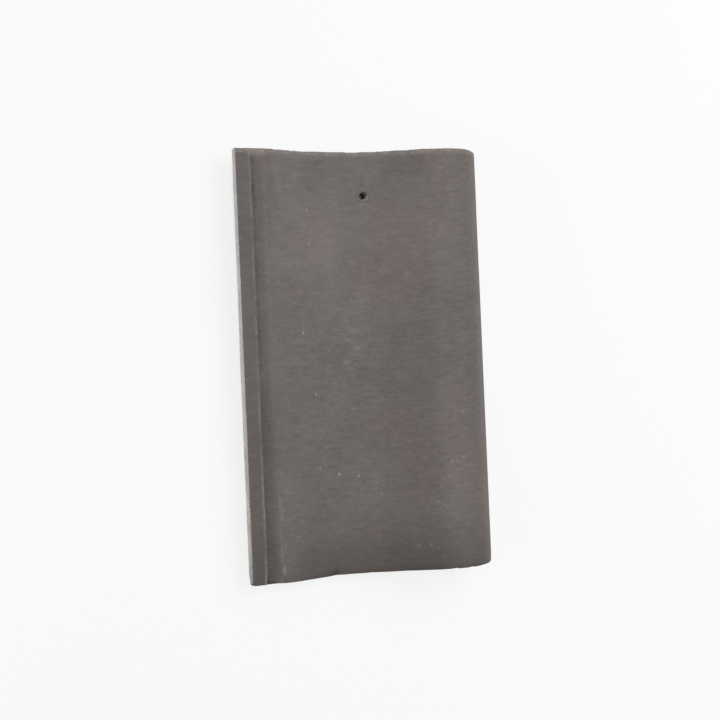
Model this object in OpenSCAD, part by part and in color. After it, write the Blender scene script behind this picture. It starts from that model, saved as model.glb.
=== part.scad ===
// Interlocking concrete roof tile: one cast piece with a single wave across its width.
// It lies face up on a level floor, on its two nibs at the head (+Y) and a weather bar at the tail (-Y).
// The lock rib is on its left (-X). The lip on its right (+X) covers the rib of the next tile when laid.
// Sections are drawn from the top of the lock rib's outer side: x across, y up.

/* [Plate] */
// Width that one laid tile covers
cover_w = 200; // [190:1:210]
// Width of the side lap, where the next tile's lip covers the lock
lap_w = 29; // [27:0.5:33]
// Length from tail to head
tile_l = 381; // [330:1:430]
// Thickness of the waved plate, square to its face
plate_t = 11.5; // [10.5:0.25:13]

/* [Wave] */
// Height of the pan's shoulder over the lock rib
shoulder_h = 1; // [0.25:0.25:2]
// Distance of the trough from the rib's outer side
trough_x = 86; // [76:1:96]
// Depth of the trough below the lock rib
trough_depth = 5.7; // [4.5:0.1:7.5]
// Height of the crest over the lock rib
crest_h = 30.5; // [27:0.5:34]
// Distance of the crest from the lip's outer edge
roll_w = 29.5; // [27:0.5:33]
// Height of the lip's outer edge over the lock rib
edge_h = 9; // [7:0.25:12]

/* [Side lock] */
// Height of the lock rib's outer side
side_h = 13; // [11.5:0.25:15]
// Width of the lock rib's top
rib_w = 13.4; // [11:0.1:14.5]
// Depth of the channel beside the rib
channel_depth = 6.5; // [5.5:0.25:7.5]
// Lean of the rib's inner wall and the lip's inner wall, in degrees
wall_lean = 8; // [4:1:12]
// Clearance in the lock between two laid tiles
lock_gap = 2; // [1:0.25:2.5]
// Length of the dam that closes the channel at the head
dam_l = 14; // [13:0.5:18]
// Drop of the dam's top below the lock rib
dam_drop = 0.5; // [0.25:0.25:1]
// Slope of the dam towards the channel, in degrees
dam_slope = 40; // [38:1:60]

/* [Edges] */
// Rounding of the long edges
arris_r = 1.5; // [0.75:0.25:2]
// Rounding in the lock's inner corners
corner_r = 1.5; // [0.75:0.25:2]
// Rounding of the pan's shoulder
shoulder_r = 3; // [1:0.5:5]
// Length of the rounding over the tail's upper edge
nose_l = 14; // [5:1:20]
// Depth of the rounding over the tail's upper edge
nose_h = 4.5; // [2:0.25:5]
// Length of the rounding under the tail's lower edge
lift_l = 10; // [5:0.5:11]
// Height of the rounding under the tail's lower edge
lift_h = 5.5; // [2:0.25:6]
// Length of the rounding over the head's upper edge
head_l = 5; // [2:0.5:8]
// Depth of the rounding over the head's upper edge
head_h = 2.5; // [1:0.25:4]

/* [Nail hole] */
// Diameter of the nail hole
hole_d = 5.2; // [4:0.1:7]
// Distance of the nail hole from the rib's outer side
hole_x = 118; // [108:1:126]
// Distance of the nail hole from the head
hole_from_head = 40.5; // [34:0.5:50]
// Diameter of the hole's worn mouth
mouth_d = 7.4; // [7.2:0.1:9]
// Depth of the hole's worn mouth
mouth_depth = 1.6; // [1:0.1:2.5]

/* [Nibs] */
// Width of a nib's foot
nib_w = 26; // [20:1:32]
// Length of a nib along the tile
nib_l = 18; // [14:1:20]
// Reach of the nibs below the plate's trough
nib_drop = 11; // [8:0.5:14]
// Distance of the left nib's middle from the rib's outer side
left_nib_x = 50; // [46:1:60]
// Distance of the right nib's middle from the rib's outer side
right_nib_x = 146; // [140:1:152]
// Distance of the nibs' backs from the head
nib_from_head = 8; // [5:0.5:10]
// Draft of the nibs' sides and backs, in degrees
nib_draft = 12; // [5:1:18]

/* [Weather bars] */
// Number of weather bars under the tail
bar_count = 2; // [1:1:3]
// Height of a weather bar
bar_h = 4; // [2.5:0.25:5]
// Width of a weather bar at its root
bar_w = 9; // [7.5:0.5:12]
// Distance between weather bars
bar_pitch = 18; // [14:1:24]
// Distance of the first weather bar from the tail
bar_from_tail = 12; // [11:1:18]
// Distance of the bars' ends from the locks
bar_inset = 8; // [5:1:12]
// Slope of the bars' sides from level, in degrees
bar_slope = 65; // [60:1:75]

/* [Hidden] */
$fn = 64;

// Straight pieces in each stretch of a curve
wave_steps = 18;
roll_steps = 10;
channel_steps = 6;
arc_steps = 4;
// Flats that round an edge of the head or tail
edge_flats = 4;
// Run of a cut past the solid
overrun = 1;

tile_w = cover_w + lap_w;
crest_x = tile_w - roll_w;
roll_drop = crest_h - edge_h;
channel_x = rib_w + channel_depth * tan(wall_lean);
lip_x = cover_w + channel_x + lock_gap;
tip_run = 2 * arris_r;
bed_h = -trough_depth - plate_t;
nib_h = bed_h - nib_drop;
nib_face_y = tile_l - nib_from_head - nib_l;
bar_foot_y = bar_from_tail + bar_h / tan(bar_slope);

// At rest the nibs' feet and the first bar touch the floor, so the head lies a little high.
rest_pitch = atan((nib_drop - bar_h) / (nib_face_y - bar_foot_y));
rest_h = nib_face_y * sin(rest_pitch) + nib_h * cos(rest_pitch);
middle_y = (tile_l * cos(rest_pitch) - (bed_h + edge_h) * sin(rest_pitch)) / 2;

// Half a cosine wave between two heights, and its slope over a width
function half_wave(low, high, share) = low + (high - low) * (1 - cos(180 * share)) / 2;
function half_wave_slope(low, high, share, width) = (high - low) / width * PI / 2 * sin(180 * share);

function pan_share(x) = (x - lap_w) / (trough_x - lap_w);
function rise_share(x) = (x - trough_x) / (crest_x - trough_x);
function roll_share(x) = (x - crest_x) / roll_w;

// Height of the plate's face: the pan falls to the trough, rises to the crest and rolls over to the lip.
function face_h(x) =
    x < trough_x ? half_wave(shoulder_h, -trough_depth, pan_share(x)) :
    x < crest_x ? half_wave(-trough_depth, crest_h, rise_share(x)) :
    crest_h - roll_drop * pow(roll_share(x), 2);
function face_slope(x) =
    x < trough_x ? half_wave_slope(shoulder_h, -trough_depth, pan_share(x), trough_x - lap_w) :
    x < crest_x ? half_wave_slope(-trough_depth, crest_h, rise_share(x), crest_x - trough_x) :
    -roll_drop / roll_w * 2 * roll_share(x);

// Height of the underside: the plate's thickness below the face, and level under the lock.
function plate_under_h(x) = face_h(x) - plate_t * norm([1, face_slope(x)]);
function under_h(x) = x < trough_x ? min(-side_h, plate_under_h(x)) : plate_under_h(x);
function middle_h(x) = (face_h(x) + under_h(x)) / 2;

// Height of the channel's floor, a quarter wave up to the shoulder, and of the lip that hangs over it
function channel_h(x) =
    -channel_depth + (channel_depth + shoulder_h) * (1 - cos(90 * (x - channel_x) / (lap_w - channel_x)));
function lip_h(x) = channel_h(x - cover_w) + lock_gap;

// The share'th place between two values
function between(a, b, share) = a + (b - a) * share;

// An arc of radius r that rounds the corner at b between the lines from a and to c
function corner(a, b, c, r) =
    let (
        to_a = (a - b) / norm(a - b),
        to_c = (c - b) / norm(c - b),
        half = acos(to_a * to_c) / 2,
        middle = (to_a + to_c) / norm(to_a + to_c),
        centre = b + middle * r / sin(half),
        start = b + to_a * r / tan(half) - centre,
        end = b + to_c * r / tan(half) - centre
    )
    [for (i = [0:arc_steps])
        let (way = between(start, end, i / arc_steps))
        centre + way / norm(way) * r];

// Points of the section's corners
left_foot = [0, -side_h];
lock_foot = [lap_w, -side_h];
rib_outer = [0, 0];
rib_inner = [rib_w, 0];
channel_foot = [channel_x, -channel_depth];
shoulder = [lap_w, shoulder_h];
edge = [tile_w, edge_h];
lip_edge = [tile_w, lip_h(tile_w)];
lip_tip = [lip_x, lip_h(lip_x)];
ceiling_x = lip_x - (under_h(lip_x) - lip_tip.y) * tan(wall_lean);
ceiling = [ceiling_x, under_h(ceiling_x)];

channel_line = [for (i = [1:channel_steps - 1])
    let (x = between(channel_x, lap_w, i / channel_steps)) [x, channel_h(x)]];
pan_line = [for (i = [1:wave_steps]) let (x = between(lap_w, trough_x, i / wave_steps)) [x, face_h(x)]];
rise_line = [for (i = [1:wave_steps]) let (x = between(trough_x, crest_x, i / wave_steps)) [x, face_h(x)]];
roll_line = [for (i = [1:roll_steps - 1]) let (x = between(crest_x, tile_w, i / roll_steps)) [x, face_h(x)]];
lip_line = [for (i = [1:channel_steps - 1])
    let (x = between(tile_w, lip_x + tip_run, i / (channel_steps - 1))) [x, lip_h(x)]];

// The underside follows the wave from the lip's ceiling back to where it runs level under the lock.
hollow_line = [for (i = [1:roll_steps]) let (x = between(ceiling_x, crest_x, i / roll_steps)) [x, under_h(x)]];
under_rise_line = [for (i = [1:wave_steps])
    let (x = between(crest_x, trough_x, i / wave_steps)) [x, under_h(x)]];
under_pan_line = [for (i = [1:wave_steps - 1])
    let (x = between(trough_x, lap_w, i / wave_steps)) if (plate_under_h(x) < -side_h) [x, under_h(x)]];

// The face from the rib's outer side to the lip's outer edge
face_line = concat(
    corner(left_foot, rib_outer, rib_inner, arris_r),
    corner(rib_outer, rib_inner, channel_foot, arris_r),
    corner(rib_inner, channel_foot, channel_line[0], corner_r),
    channel_line,
    corner(channel_line[channel_steps - 2], shoulder, pan_line[0], shoulder_r),
    pan_line,
    rise_line,
    roll_line,
    corner(roll_line[roll_steps - 2], edge, lip_edge, arris_r)
);

// The dam's top, and the face's line at the head, where the dam closes the channel
dam_line = [[rib_w - arris_r, -dam_drop], [lap_w, shoulder_h - dam_drop]];
head_line = concat(
    corner(left_foot, rib_outer, rib_inner, arris_r),
    [[rib_w - arris_r, 0], [rib_w, between(dam_line[0].y, dam_line[1].y, arris_r / (lap_w - rib_w + arris_r))]],
    corner(dam_line[0], shoulder, pan_line[0], shoulder_r),
    pan_line,
    rise_line,
    roll_line,
    corner(roll_line[roll_steps - 2], edge, lip_edge, arris_r)
);

// The underside from the lip's outer edge back to the rib's outer side
under_line = concat(
    corner(edge, lip_edge, lip_line[0], arris_r),
    lip_line,
    corner(lip_line[channel_steps - 2], lip_tip, ceiling, arris_r),
    corner(lip_tip, ceiling, hollow_line[0], corner_r),
    hollow_line,
    under_rise_line,
    under_pan_line,
    [lock_foot],
    corner(lock_foot, left_foot, rib_outer, arris_r)
);

// The underside between two places across the tile, moved down by a drop
under_table = reversed(concat(hollow_line, under_rise_line, under_pan_line, [lock_foot]));
function stretch(x_start, x_end, drop) = concat(
    [[x_start, lookup(x_start, under_table) - drop]],
    [for (p = under_table) if (p.x > x_start && p.x < x_end) [p.x, p.y - drop]],
    [[x_end, lookup(x_end, under_table) - drop]]
);

function reversed(line) = [for (i = [len(line) - 1:-1:0]) line[i]];

// Carries a section along the tile.
module along(y_start, y_end) {
    translate([0, y_end, 0])
        rotate([90, 0, 0])
            linear_extrude(y_end - y_start)
                children();
}

// All that lies on one side of a line, up to a level, on a run that crosses y and climbs at a slope.
// The line's heights shrink with the slope, so that the run still meets the line at y.
module climbing_side(line, level, y, slope) {
    run = tile_l / 2;
    sides = [[line[len(line) - 1].x, level], [line[0].x, level]];
    translate([0, y, 0])
        rotate([slope, 0, 0])
            along(-run, run)
                polygon(concat([for (p = line) [p.x, p.y * cos(slope)]], sides));
}

// A line drawn on level past both sides of the tile
function widened(line) = concat(
    [[line[0].x < line[1].x ? -overrun : tile_w + overrun, line[0].y]],
    line,
    [[line[0].x < line[1].x ? tile_w + overrun : -overrun, line[len(line) - 1].y]]
);

// Flats along a whole line of the section that round it off at an end, over a length and a height.
// way is 1 at the tail and -1 at the head; side is 1 for the face and -1 for the underside.
module end_rounding(line, y, length, height, way, side) {
    for (i = [1:edge_flats]) {
        turn = 90 * i / (edge_flats + 1);
        start = length * (1 - sin(turn) + (1 - cos(turn)) / tan(turn));
        slope = atan(height / length * tan(turn));
        climbing_side(widened(line), side * (crest_h + tile_l), y + way * start, way * side * slope);
    }
}

// The dam that closes the channel at the head, with a slope up from the channel's floor
module dam() {
    root_h = -channel_depth - corner_r;
    floor_line = [[0, -channel_depth], [lap_w + overrun, -channel_depth]];
    difference() {
        along(tile_l - dam_l, tile_l)
            polygon(concat(dam_line, [[lap_w, root_h], [dam_line[0].x, root_h]]));
        climbing_side(floor_line, tile_l, tile_l - dam_l, dam_slope);
    }
}

module plate() {
    difference() {
        union() {
            along(0, tile_l)
                polygon(concat(face_line, under_line));
            dam();
        }
        end_rounding(face_line, 0, nose_l, nose_h, 1, 1);
        end_rounding(under_line, 0, lift_l, lift_h, 1, -1);
        end_rounding(head_line, tile_l, head_l, head_h, -1, 1);
        // The lip stands back where the dam of the next tile fills the channel.
        translate([ceiling_x - overrun, tile_l - dam_l - lock_gap, nib_h])
            cube([tile_w - ceiling_x + 2 * overrun, dam_l + lock_gap + overrun, lip_edge.y - nib_h]);
    }
}

// A hanging nib: its front is upright to hook the batten, and its sides and back have draft.
// It is drawn up to the plate's middle, and its back leans from the highest place of its root.
module nib(x) {
    back_y = nib_face_y + nib_l;
    root_h = under_h(x + nib_w / 2);
    half_top = nib_w / 2 + (crest_h - nib_h) * tan(nib_draft);
    foot_level = nib_h - overrun;
    feet = [[x - nib_w / 2, nib_h], [x + nib_w / 2, nib_h]];
    tops = [[x + half_top, crest_h], [x - half_top, crest_h]];
    back_line = [[x - half_top, root_h], [x + half_top, root_h]];
    middle_line = [for (i = [0:wave_steps])
        let (middle_x = between(x - half_top, x + half_top, i / wave_steps)) [middle_x, middle_h(middle_x)]];
    difference() {
        along(nib_face_y, back_y)
            intersection() {
                polygon(concat(feet, tops));
                polygon(concat(middle_line, [[x + half_top, foot_level], [x - half_top, foot_level]]));
            }
        climbing_side(back_line, foot_level - tile_l, back_y, 90 - nib_draft);
    }
}

// A weather bar across the underside, which keeps one height under the wave and has sloping sides.
module weather_bar(y) {
    x_start = lap_w + bar_inset;
    x_end = cover_w - bar_inset;
    wide_root = stretch(x_start - overrun, x_end + overrun, 0);
    floor_level = nib_h - tile_l;
    difference() {
        along(y - overrun, y + bar_w + overrun)
            polygon(concat(stretch(x_start, x_end, bar_h), reversed(stretch(x_start, x_end, -plate_t / 2))));
        climbing_side(wide_root, floor_level, y, -bar_slope);
        climbing_side(wide_root, floor_level, y + bar_w, bar_slope);
    }
}

module nail_hole() {
    mouth_h = face_h(hole_x);
    translate([hole_x, tile_l - hole_from_head, 0]) {
        translate([0, 0, nib_h])
            cylinder(h = crest_h - nib_h, d = hole_d);
        translate([0, 0, mouth_h - mouth_depth])
            cylinder(h = 2 * mouth_depth, d1 = hole_d, d2 = 2 * mouth_d - hole_d);
    }
}

module roof_tile() {
    color("#6f6966")
        translate([-tile_w / 2, -middle_y, -rest_h])
            rotate([rest_pitch, 0, 0])
                difference() {
                    union() {
                        plate();
                        nib(left_nib_x);
                        nib(right_nib_x);
                        for (i = [0:bar_count - 1])
                            weather_bar(bar_from_tail + i * bar_pitch);
                    }
                    nail_hole();
                }
}

roof_tile();
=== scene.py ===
import bpy
import numpy as np
from mathutils import Matrix, Vector


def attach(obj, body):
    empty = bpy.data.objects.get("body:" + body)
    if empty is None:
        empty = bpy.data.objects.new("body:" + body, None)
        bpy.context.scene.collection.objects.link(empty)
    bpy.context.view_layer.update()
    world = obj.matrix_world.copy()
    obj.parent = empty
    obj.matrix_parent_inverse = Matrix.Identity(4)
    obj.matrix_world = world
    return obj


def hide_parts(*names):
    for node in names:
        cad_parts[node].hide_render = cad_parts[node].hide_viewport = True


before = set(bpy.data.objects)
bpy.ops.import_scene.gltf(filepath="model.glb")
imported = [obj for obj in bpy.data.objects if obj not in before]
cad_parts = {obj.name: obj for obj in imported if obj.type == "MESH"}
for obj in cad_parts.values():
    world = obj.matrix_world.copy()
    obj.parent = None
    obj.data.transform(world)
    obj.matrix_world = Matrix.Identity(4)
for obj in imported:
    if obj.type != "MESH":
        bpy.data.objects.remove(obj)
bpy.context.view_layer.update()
scene = bpy.context.scene
scene.view_settings.view_transform = "Standard"

# millimetres: u across from the rib's outer side, y from tail to head, z up from the rib's top
tile = {
    "cover": 200.0, "lap": 29.0, "length": 381.0, "plate": 11.5,
    "shoulderRise": 1.0, "troughAt": 86.0, "troughDrop": 5.7,
    "crestRise": 30.5, "rollWidth": 29.5, "edgeRise": 9.0,
    "sideDrop": 13.0, "ribWidth": 13.4, "channelDrop": 6.5, "wallLean": 8.0, "lockGap": 2.0,
    "damLength": 14.0, "damDrop": 0.5, "damSlope": 40.0, "damFillet": 1.0,
    "arris": 1.5, "corner": 1.5, "shoulderSoft": 3.2,
    "nose": (14.0, 4.5), "lift": (10.0, 5.5),  # run and height of the roundings at the tail
    "head": (5.0, 2.5), "headLift": (0.9, 0.9),
    "flatter": 0.7, "noseFlat": (210.0, 226.0), "headFlat": (197.0, 220.0),  # where they run out
    "leastEdge": 0.8,  # thickness left between the roundings
}
nibs = {"width": 26.0, "length": 18.0, "drop": 11.0, "centres": (50.0, 146.0), "fromHead": 8.0,
        "draft": 12.0, "roots": ((33.7, 66.0), (128.4, 167.5)), "fillet": 1.6, "cliff": 100.0}
bars = {"rise": 4.0, "width": 9.0, "first": 12.0, "pitch": 18.0, "count": 2, "slope": 65.0,
        "ends": (37.0, 192.0), "endRuns": (0.6, 1.2)}
hole = {"at": (118.0, 340.5), "bore": 2.6, "mouth": 3.7, "mouthDepth": 1.6, "mouthTop": 0.6,
        "block": 7.0, "steps": 12,  # half the square of grid that the hole takes, and its steps
        "collarRings": 6, "mouthShares": (0.3, 0.65, 1.0), "boreRings": 7, "underRings": 3,
        "lobes": ((2, 0.05, 0.6), (5, 0.03, 0.0)),  # waves round the mouth: number, share, turn
        "rimRise": 0.22, "rimAt": 0.72, "rimWide": 0.2, "rimFall": 0.35, "rimFallFrom": 0.8,
        "footDrop": 0.05}

perMetre = 1000.0  # millimetres
width = tile["cover"] + tile["lap"]
length = tile["length"]
crestAt = width - tile["rollWidth"]
lean = np.tan(np.radians(tile["wallLean"]))
channelAt = tile["ribWidth"] + tile["channelDrop"] * lean
tipAt = tile["cover"] + channelAt + tile["lockGap"]
lipBack = length - tile["damLength"] - tile["lockGap"]  # the lip clears the next tile's dam
bed = -tile["troughDrop"] - tile["plate"]
nibFoot = bed - nibs["drop"]
nibEnd = length - nibs["fromHead"]
nibFace = nibEnd - nibs["length"]
nibDraft = np.tan(np.radians(nibs["draft"]))
barRun = bars["rise"] / np.tan(np.radians(bars["slope"]))
barStarts = [bars["first"] + k * bars["pitch"] for k in range(bars["count"])]
restPitch = np.arctan((nibs["drop"] - bars["rise"]) / (nibFace - bars["first"] - barRun))


# eased step from 0 at start to 1 at end: three t squared less two t cubed
def ease(x, start, end):
    t = np.clip((x - start) / (end - start), 0, 1)
    return t * t * (3 - 2 * t)


# eased band: up from start to full, down from fade to end
def band(x, start, full, fade, end):
    return ease(x, start, full) * ease(x, end, fade)


# sum of eased steps, each given as its height, start and end
def easedSteps(x, steps):
    return sum(high * ease(x, start, end) for high, start, end in steps)


# bell: e to minus the square of the distance over the half width
def bell(x, at, wide):
    return np.exp(-((x - at) / wide) ** 2)


# sum of soft round spots, each a bell across times a bell along: place, half sizes, strength
def spots(u, y, places):
    return sum(strong * bell(u, a, across) * bell(y, b, along) for a, b, across, along, strong in places)


# primes that scramble the steps of the noise, and the bits that are kept
scramble = {"across": 374761393, "along": 668265263, "seed": 974634557, "mix": 1274126177,
            "bits": 0xffffffff}


# value noise from -1 to 1: one hashed number at each whole step, eased between the steps
def softNoise(x, y, seed):
    i, j = np.floor(x), np.floor(y)
    fx, fy = (f ** 3 * (f * (f * 6 - 15) + 10) for f in (x - i, y - j))

    def hashed(a, b):
        h = a.astype(np.int64) * scramble["across"] + b.astype(np.int64) * scramble["along"]
        h = (h + seed * scramble["seed"]) & scramble["bits"]
        h = ((h ^ (h >> 13)) * scramble["mix"]) & scramble["bits"]
        return ((h ^ (h >> 16)) & 0xffff) / 32767.5 - 1

    low = hashed(i, j) * (1 - fx) + hashed(i + 1, j) * fx
    high = hashed(i, j + 1) * (1 - fx) + hashed(i + 1, j + 1) * fx
    return low * (1 - fy) + high * fy


# layers of noise added up: size across, size along, share, seed
def layers(x, y, sizes):
    return sum(share * softNoise(x / across, y / along, seed) for across, along, share, seed in sizes)


# half a cosine between two heights
def halfWave(low, high, share):
    return low + (high - low) * (1 - np.cos(np.pi * share)) / 2


# quarter ellipse: height at the very end, none from the given run inwards
def endRound(run, height, inward):
    share = np.clip(1 - inward / run, 0, 1)
    return height * (1 - np.sqrt(1 - share ** 2))


# face across the plate: the pan falls by half a cosine, the rise climbs by another, the roll is a parabola
def faceHeight(u):
    shoulder, trough, crest = tile["shoulderRise"], -tile["troughDrop"], tile["crestRise"]
    pan = halfWave(shoulder, trough, (u - tile["lap"]) / (tile["troughAt"] - tile["lap"]))
    rise = halfWave(trough, crest, (u - tile["troughAt"]) / (crestAt - tile["troughAt"]))
    roll = crest - (crest - tile["edgeRise"]) * ((u - crestAt) / tile["rollWidth"]) ** 2
    return np.where(u < tile["troughAt"], pan, np.where(u < crestAt, rise, roll))


# underside: the plate's thickness below the face, measured square to it, and level under the lock
def underHeight(u, step=0.01):
    slope = (faceHeight(u + step) - faceHeight(u - step)) / (2 * step)
    plain = faceHeight(u) - tile["plate"] * np.hypot(1, slope)
    return np.where(u < tile["troughAt"], np.minimum(plain, -tile["sideDrop"]), plain)


# channel floor: a quarter cosine from the rib's foot up to the shoulder
def channelHeight(u):
    turn = np.pi / 2 * (u - channelAt) / (tile["lap"] - channelAt)
    return -tile["channelDrop"] + (tile["channelDrop"] + tile["shoulderRise"]) * (1 - np.cos(turn))


# lesser of two heights, lowered by the square of their closeness where they meet, as a fillet
def filletMin(a, b, size):
    h = np.clip(1 - np.abs(a - b) / size, 0, 1)
    return np.minimum(a, b) - h * h * size / 4


# lane: channel floor and pan, the lower of the two, with a soft shoulder where they meet
def laneHeight(u):
    return filletMin(channelHeight(u), faceHeight(u), tile["shoulderSoft"])


# lip of the tile: its neighbour's channel moved over by the cover width and lifted by the gap
def lipHeight(u):
    return channelHeight(u - tile["cover"]) + tile["lockGap"]


# points of the section over the given places, at the height that the function gives there
def onLine(height, places):
    return np.stack([places, height(places)], 1)


# one point of such a line
def onPoint(height, place):
    return place, float(height(place))


# even steps along a line through the given stops, each with its own number of steps
def stops(start, *runs):
    places = [start] + [end for end, steps in runs]
    pieces = [np.linspace(a, b, n, endpoint=False) for a, b, (end, n) in zip(places, places[1:], runs)]
    return np.concatenate(pieces + [[places[-1]]])


# arc that touches both legs of a corner: centre on the bisector, turned evenly from leg to leg
def roundCorner(a, b, c, radius, number):
    a, b, c = (np.asarray(p, float) for p in (a, b, c))
    p, q = (a - b) / np.linalg.norm(a - b), (c - b) / np.linalg.norm(c - b)
    half = np.arccos(p @ q) / 2
    centre = b + (p + q) / np.linalg.norm(p + q) * radius / np.sin(half)
    first, last = b + p * radius / np.tan(half) - centre, b + q * radius / np.tan(half) - centre
    swing = np.pi - 2 * half
    t = np.linspace(0, 1, number)[:, None]
    return centre + (np.sin((1 - t) * swing) * first + np.sin(t * swing) * last) / np.sin(swing)


# points strictly between two points
def between(a, b, number):
    return np.linspace(a, b, number + 2)[1:-1]


# points in each stretch of the section; how far they keep from its corners, and the corners' legs
count = {"arris": 7, "ribTop": 7, "ribWall": 3, "channelCorner": 5, "lane": 18, "pan": 57, "rise": 78,
         "edgeArris": 6, "lipFace": 3, "lipArris": 5, "lipFoot": 8, "lipTip": 6, "lipWall": 7, "hollow": 4,
         "footArris": 5, "side": 8}
clear = {"lane": 1.0, "wave": 8.0, "edge": 0.9, "lipArris": 1.0, "lipTip": 0.7, "hollow": 2.2, "side": 3.0,
         "shortLeg": 2.0, "longLeg": 3.0}


# lines along the underside from lip to side, closer at the bars' ends, the nibs' flanks and the hole
def underPlaces(ceilingAt):
    (leftRoot, leftRootIn), (rightRootIn, rightRoot) = nibs["roots"]
    leftNib, rightNib = ((c - nibs["width"] / 2, c + nibs["width"] / 2) for c in nibs["centres"])
    barEnd = bars["ends"][1]
    return stops(ceilingAt - clear["hollow"], (barEnd, 6), (barEnd - bars["endRuns"][1], 1),
                 (rightRoot, 7), (rightNib[1], 6), (rightNib[0], 9), (rightRootIn, 5),
                 (hole["at"][0] + hole["block"], 1), (hole["at"][0] - hole["block"], hole["steps"]),
                 (leftRootIn, 15), (leftNib[1], 4), (leftNib[0], 9), (leftRoot, 4), (tile["lap"], 2),
                 (clear["side"], 8))


# closed section, clockwise: over the face from rib to lip, then back along the underside
def sectionLoop():
    ribOuter, ribInner = (0.0, 0.0), (tile["ribWidth"], 0.0)
    channelFoot, leftFoot = (channelAt, -tile["channelDrop"]), (0.0, -tile["sideDrop"])
    edge = (width, tile["edgeRise"])
    lipEdge, lipTip = onPoint(lipHeight, width), onPoint(lipHeight, tipAt)
    ceilingAt = tipAt - (float(underHeight(tipAt)) - lipTip[1]) * lean
    ceiling = onPoint(underHeight, ceilingAt)
    waveFrom = tile["lap"] + clear["wave"]
    faceLines = stops(waveFrom, (hole["at"][0] - hole["block"], count["pan"]),
                      (hole["at"][0] + hole["block"], hole["steps"]),
                      (width - clear["edge"], count["rise"]))
    underLines = underPlaces(ceilingAt)
    arris, corner = tile["arris"], tile["corner"]
    leftArris = roundCorner(leftFoot, ribOuter, ribInner, arris, count["arris"])
    ribArris = roundCorner(ribOuter, ribInner, channelFoot, arris, count["arris"])
    channelLeg = onPoint(channelHeight, channelAt + clear["shortLeg"])
    channelCorner = roundCorner(ribInner, channelFoot, channelLeg, corner, count["channelCorner"])
    lane = np.linspace(channelCorner[-1, 0] + clear["lane"], waveFrom - clear["lane"], count["lane"])
    wave = onLine(faceHeight, faceLines)
    edgeArris = roundCorner(wave[-1], edge, lipEdge, arris, count["edgeArris"])
    lipLeg = onPoint(lipHeight, width - clear["longLeg"])
    lipArris = roundCorner(edge, lipEdge, lipLeg, arris, count["lipArris"])
    tipLeg = onPoint(lipHeight, tipAt + clear["longLeg"])
    tip = roundCorner(tipLeg, lipTip, ceiling, arris, count["lipTip"])
    lipFrom, lipTo = lipArris[-1, 0] - clear["lipArris"], tip[0, 0] + clear["lipTip"]
    lipFoot = np.linspace(lipFrom, lipTo, count["lipFoot"])
    hollowLeg = onPoint(underHeight, ceilingAt - clear["shortLeg"])
    hollow = roundCorner(lipTip, ceiling, hollowLeg, corner, count["hollow"])
    underLeg = (tile["lap"], -tile["sideDrop"])
    footArris = roundCorner(underLeg, leftFoot, ribOuter, arris, count["footArris"])
    loop = {
        "leftArris": leftArris,
        "ribTop": between(leftArris[-1], ribArris[0], count["ribTop"]),
        "ribArris": ribArris,
        "ribWall": between(ribArris[-1], channelCorner[0], count["ribWall"]),
        "channelCorner": channelCorner,
        "lane": onLine(laneHeight, lane),
        "wave": wave,
        "edgeArris": edgeArris,
        "lipFace": between(edgeArris[-1], lipArris[0], count["lipFace"]),
        "lipArris": lipArris,
        "lipFoot": onLine(lipHeight, lipFoot),
        "lipTip": tip,
        "lipWall": between(tip[-1], hollow[0], count["lipWall"]),
        "hollow": hollow,
        "under": onLine(underHeight, underLines),
        "footArris": footArris,
        "side": between(footArris[-1], leftArris[0], count["side"]),
    }
    return loop, faceLines, underLines


loop, faceLines, underLines = sectionLoop()
starts = np.cumsum([0] + [len(points) for points in loop.values()])
part = {name: slice(a, b) for name, a, b in zip(loop, starts, starts[1:])}
section = np.concatenate(list(loop.values()))
tangent = np.roll(section, -1, 0) - np.roll(section, 1, 0)
sectionOut = np.stack([-tangent[:, 1], tangent[:, 0]], 1) / np.linalg.norm(tangent, axis=1)[:, None]
faceParts = np.zeros(len(section))  # 1 over the face, 0 below, evenly down the two sides
faceParts[:part["lipFace"].start] = 1
faceParts[part["lipFace"]] = between(1, 0, len(loop["lipFace"]))
faceParts[part["side"]] = between(0, 1, len(loop["side"]))


# back edge of a nib's foot: the back leans by the draft from the highest place of the nib's root
def nibBack(centre):
    return nibEnd - (underHeight(centre + nibs["width"] / 2) - nibFoot) * nibDraft


# rows along the tile in each stretch, and the short runs that its upright steps take, in millimetres
rows = {"tail": 11, "barFlank": 2, "barFoot": 4, "barGap": 6, "field": 194, "head": 8}
stepRun = {"nibFront": 0.2, "lip": 0.1, "nibRear": 0.3}


# stations from tail to head: close together over the roundings, at the bars, the hole and the nibs
def stationLines():
    barStops = []
    for start in barStarts:
        end = start + bars["width"]
        barStops += [(start + barRun, rows["barFlank"]), (end - barRun, rows["barFoot"]),
                     (end, rows["barFlank"])]
        if start != barStarts[-1]:
            barStops.append((start + bars["pitch"], rows["barGap"]))
    backs = [float(nibBack(centre)) for centre in nibs["centres"]]
    headRun = tile["head"][0]
    middle = stops(bars["first"], *barStops, (hole["at"][1] - hole["block"], rows["field"]),
                   (hole["at"][1] + hole["block"], hole["steps"]), (nibFace - stepRun["nibFront"], 6),
                   (nibFace, 1), (lipBack - stepRun["lip"], 7), (lipBack + stepRun["lip"], 1),
                   (min(backs), 1), (max(backs), 4), (nibEnd, 3), (nibEnd + stepRun["nibRear"], 1),
                   (length - headRun, 2))
    tail = bars["first"] * (1 - np.cos(np.linspace(0, np.pi / 2, rows["tail"] + 1)[:-1]))
    head = length - headRun * (1 - np.sin(np.linspace(0, np.pi / 2, rows["head"])))
    return np.concatenate([tail, middle[:-1], head])


stations = stationLines()
print("section", len(section), "points, stations", len(stations))

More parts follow.
